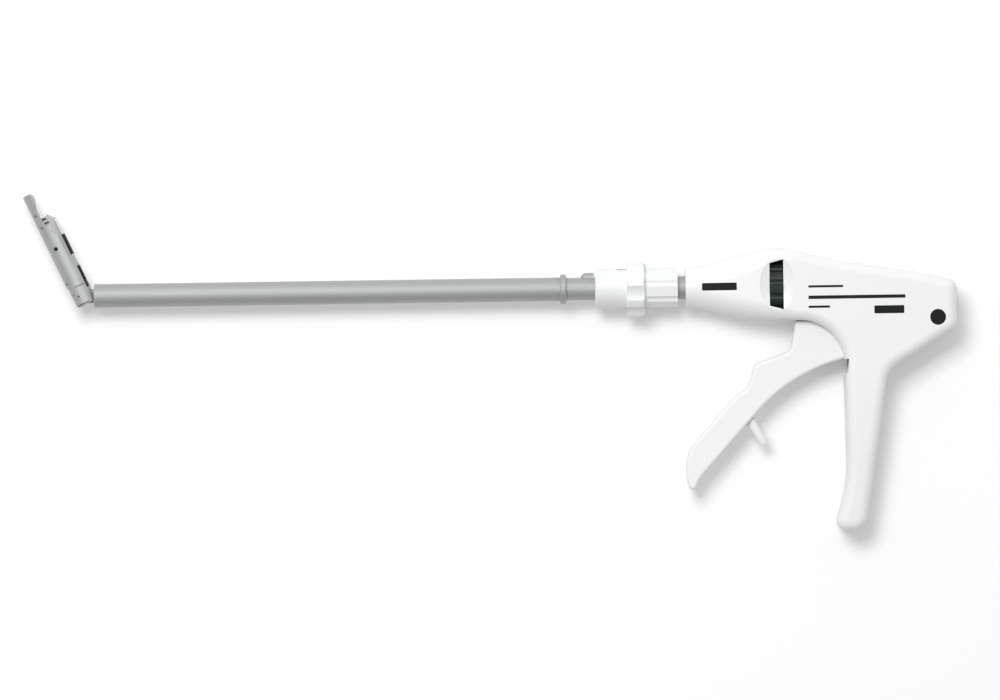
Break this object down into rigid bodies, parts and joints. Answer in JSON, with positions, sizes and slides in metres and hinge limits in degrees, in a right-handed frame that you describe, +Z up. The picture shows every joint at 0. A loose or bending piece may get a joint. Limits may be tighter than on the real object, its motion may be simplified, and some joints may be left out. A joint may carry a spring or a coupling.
{
  "type": "hernia stapler",
  "caption": "Endoscopic hernia stapler: pistol handle with squeeze trigger, rotating 12 mm shaft, sliding collar that bends the tip, and a staple cartridge with a forming finger.",
  "frame": {"origin": "on the shaft's axis, at the front face of the stop ring, where the straight 12 mm length of the tube ends", "axes": "+X along the shaft towards the handle, +Y away from the grip, +Z the instrument's left side; the stapler lies on its right side, so +Z points up"},
  "size_m": [0.4729, 0.1768, 0.03],
  "materials": {
    "handle_white": "satin moulded plastic",
    "collar_white": "satin moulded plastic",
    "bearing_white": "smooth bearing plastic",
    "knob_black": "dull black moulding",
    "carrier_black": "black strip",
    "carrier_grey": "light grey moulding",
    "cover_clear": "clear moulded plastic",
    "shaft_steel": "satin ground tube",
    "tip_steel": "satin machined steel",
    "steel_pin": "turned steel",
    "spring_steel": "drawn spring steel",
    "staple_wire": "titanium wire",
    "seal_rubber": "black rubber"
  },
  "bodies": {
    "handle": {"handle_half_left": "handle_white", "handle_half_right": "handle_white", "nose_bushing": "bearing_white", "rear_bushing": "bearing_white", "trigger_pivot_pin": "steel_pin", "case_pins": "steel_pin"},
    "shaft": {"shaft_tube": "shaft_steel", "stop_ring": "shaft_steel", "guide_key": "shaft_steel", "rotation_knob": "knob_black", "knob_key": "steel_pin", "retaining_clip": "steel_pin", "tongue_plug": "tip_steel", "rod_guides": "bearing_white", "spring_seat": "bearing_white", "shaft_seal": "seal_rubber"},
    "collar": {"articulation_collar": "collar_white", "collar_pin": "steel_pin", "articulation_rod": "spring_steel"},
    "firing_train": {"firing_rod": "shaft_steel", "rod_spool": "steel_pin", "rod_return_spring": "spring_steel", "flex_band": "spring_steel"},
    "trigger_lever": {"trigger": "handle_white", "drive_yoke": "tip_steel", "yoke_pin": "steel_pin"},
    "tip": {"tip_knuckle": "tip_steel", "tip_trunnions": "steel_pin", "articulation_pin": "steel_pin", "cartridge_channel": "tip_steel", "cartridge_rivets": "steel_pin", "anvil_plate": "tip_steel", "cartridge_body": "carrier_grey", "cartridge_cover": "cover_clear", "cover_bridge": "tip_steel", "cover_strips": "carrier_black", "staples": "staple_wire", "staple_spring": "spring_steel"},
    "pusher": {"staple_pusher": "spring_steel"}
  },
  "joints": [
    {"name": "shaft_rotation", "type": "hinge", "parent": "handle", "child": "shaft", "pos_m": [0, 0, 0], "axis": [1, 0, 0], "continuous": true},
    {"name": "tip_articulation", "type": "hinge", "parent": "shaft", "child": "tip", "pos_m": [-0.2423, 0, 0], "axis": [0, 0, 1], "range_deg": [0, 65]},
    {"name": "collar_slide", "type": "slide", "parent": "shaft", "child": "collar", "axis": [1, 0, 0], "range_m": [0, 0.0038]},
    {"name": "trigger_squeeze", "type": "hinge", "parent": "handle", "child": "trigger_lever", "pos_m": [0.13, -0.01, 0], "axis": [0, 0, 1], "range_deg": [0, 30], "stiffness_Nm_per_rad": 0.6, "springref_deg": -17.19},
    {"name": "firing_slide", "type": "slide", "parent": "shaft", "child": "firing_train", "axis": [-1, 0, 0], "range_m": [0, 0.0054], "deforming": ["rod_return_spring", "flex_band"]},
    {"name": "pusher_slide", "type": "slide", "parent": "tip", "child": "pusher", "axis": [-0.4226, 0.9063, 0], "range_m": [0, 0.0054]}
  ],
  "couplings": [
    {"joint": "collar_slide", "follows": "tip_articulation", "m_per_rad": 0.003349},
    {"joint": "firing_slide", "follows": "trigger_squeeze", "m_per_rad": 0.01024},
    {"joint": "pusher_slide", "follows": "trigger_squeeze", "m_per_rad": 0.01024}
  ]
}
